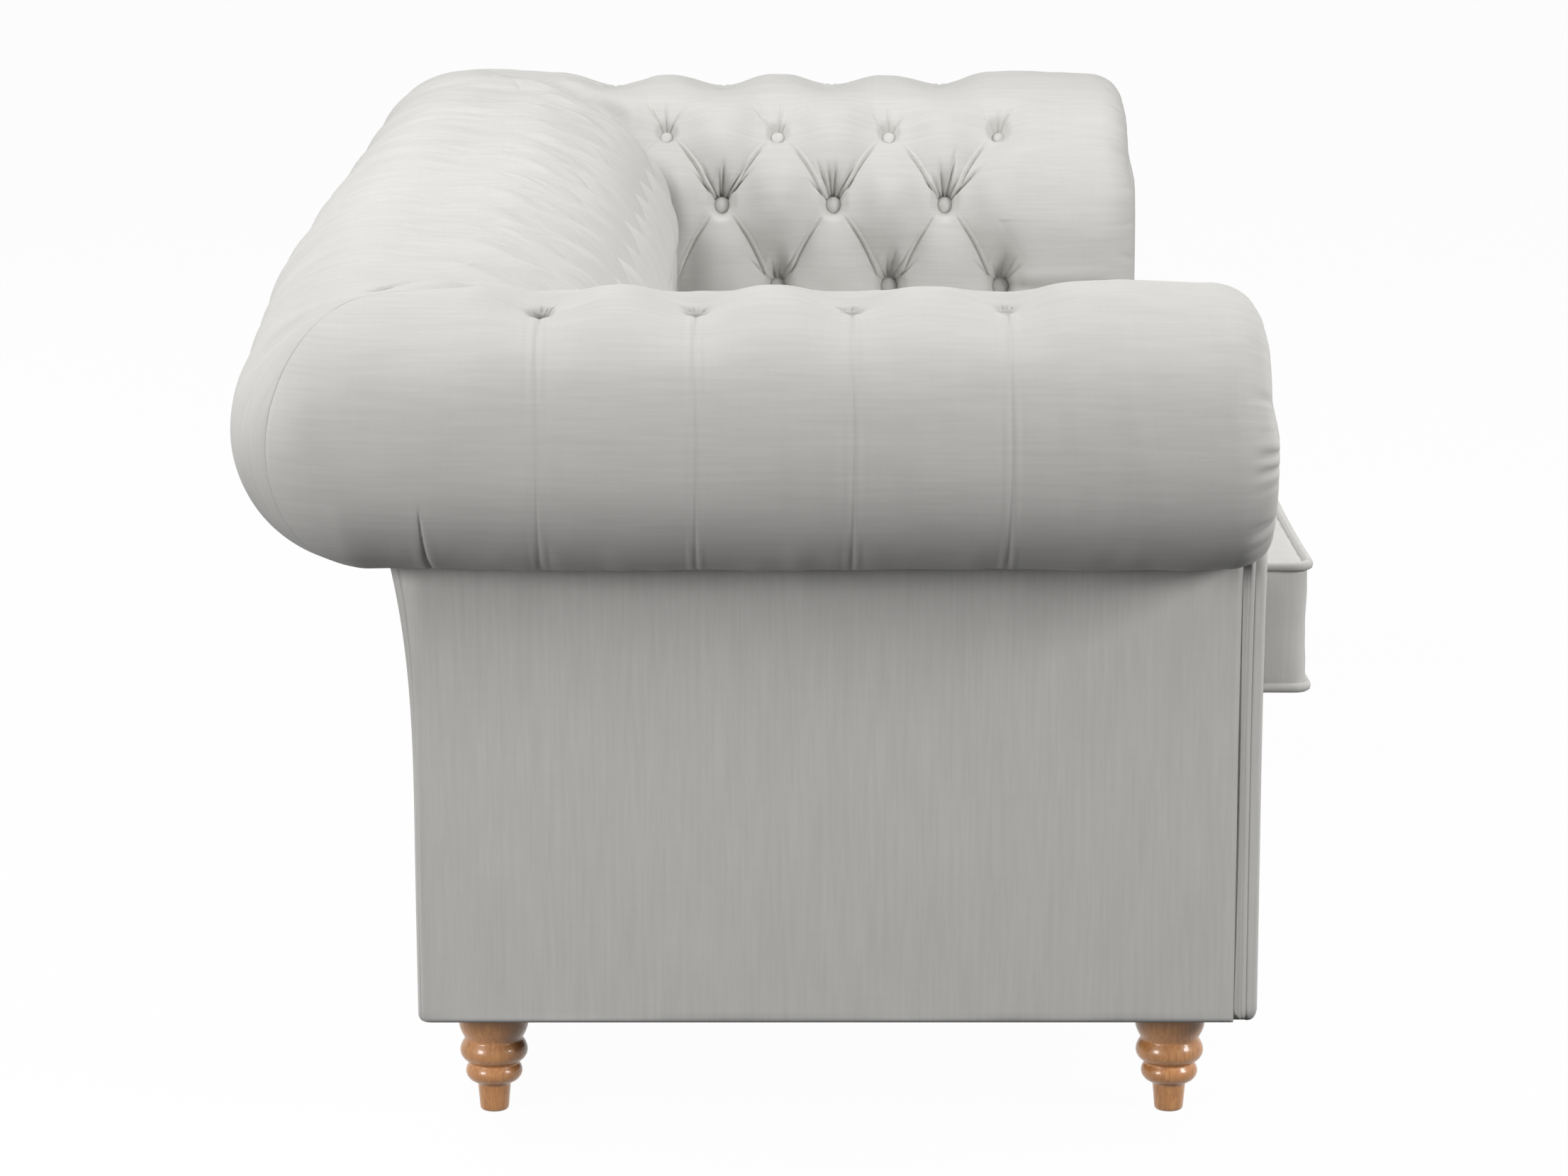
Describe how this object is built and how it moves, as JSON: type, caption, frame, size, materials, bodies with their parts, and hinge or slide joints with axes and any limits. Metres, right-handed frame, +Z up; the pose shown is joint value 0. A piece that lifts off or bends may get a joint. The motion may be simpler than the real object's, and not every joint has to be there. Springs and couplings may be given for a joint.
{
  "type": "chesterfield sofa",
  "caption": "Long upholstered sofa with level rolled arms and back in deep diamond buttoning, loose boxed seat cushions and turned wooden legs.",
  "frame": {"origin": "centre of the footprint, on the floor", "axes": "+X along the sofa to the right as seen from the front, front faces -Y, +Z up"},
  "size_m": [2.2, 0.976, 0.765],
  "materials": {
    "grey_linen": "matt slubbed weave",
    "upholstery_foam": "open-cell foam",
    "frame_timber": "sawn, unfinished",
    "lacquered_beech": "gloss lacquer",
    "zinc_steel": "zinc plated",
    "spring_steel": "blued wire",
    "black_cambric": "non-woven",
    "platform_cloth": "plain cloth"
  },
  "bodies": {
    "frame": {"arm_cover_left": "grey_linen", "arm_cover_right": "grey_linen", "arm_facing_left": "grey_linen", "arm_facing_right": "grey_linen", "arm_foam_left": "upholstery_foam", "arm_foam_right": "upholstery_foam", "arm_front_board_left": "frame_timber", "arm_front_board_right": "frame_timber", "arm_rear_board_left": "frame_timber", "arm_rear_board_right": "frame_timber", "arm_top_rail_left": "frame_timber", "arm_top_rail_right": "frame_timber", "arm_tuck_rail_left": "frame_timber", "arm_tuck_rail_right": "frame_timber", "back_board_left": "frame_timber", "back_board_middle": "frame_timber", "back_board_right": "frame_timber", "back_cover": "grey_linen", "back_foam": "upholstery_foam", "back_rail": "frame_timber", "back_top_rail": "frame_timber", "corner_block_front_left": "frame_timber", "corner_block_front_right": "frame_timber", "corner_block_rear_left": "frame_timber", "corner_block_rear_right": "frame_timber", "cross_rail_left": "frame_timber", "cross_rail_right": "frame_timber", "dust_cover": "black_cambric", "front_border": "grey_linen", "front_rail": "frame_timber", "leg_bolt_front_left": "zinc_steel", "leg_bolt_front_right": "zinc_steel", "leg_bolt_rear_left": "zinc_steel", "leg_bolt_rear_right": "zinc_steel", "leg_front_left": "lacquered_beech", "leg_front_right": "lacquered_beech", "leg_rear_left": "lacquered_beech", "leg_rear_right": "lacquered_beech", "outside_arm_panel_left": "grey_linen", "outside_arm_panel_right": "grey_linen", "outside_back_panel": "grey_linen", "seat_back_rail": "frame_timber", "seat_deck": "platform_cloth", "seat_spring_1": "spring_steel", "seat_spring_2": "spring_steel", "seat_spring_3": "spring_steel", "seat_spring_4": "spring_steel", "seat_spring_5": "spring_steel", "seat_spring_6": "spring_steel", "seat_spring_7": "spring_steel", "seat_spring_8": "spring_steel", "side_rail_left": "frame_timber", "side_rail_right": "frame_timber"},
    "cushion_left": {"seat_cushion_left": "grey_linen", "cushion_core_left": "upholstery_foam"},
    "cushion_middle": {"seat_cushion_middle": "grey_linen", "cushion_core_middle": "upholstery_foam"},
    "cushion_right": {"seat_cushion_right": "grey_linen", "cushion_core_right": "upholstery_foam"}
  },
  "joints": [
    {"name": "cushion_left_lift", "type": "slide", "parent": "frame", "child": "cushion_left", "axis": [0, 0, 1], "range_m": [0, 0.3]},
    {"name": "cushion_middle_lift", "type": "slide", "parent": "frame", "child": "cushion_middle", "axis": [0, 0, 1], "range_m": [0, 0.3]},
    {"name": "cushion_right_lift", "type": "slide", "parent": "frame", "child": "cushion_right", "axis": [0, 0, 1], "range_m": [0, 0.3]}
  ]
}
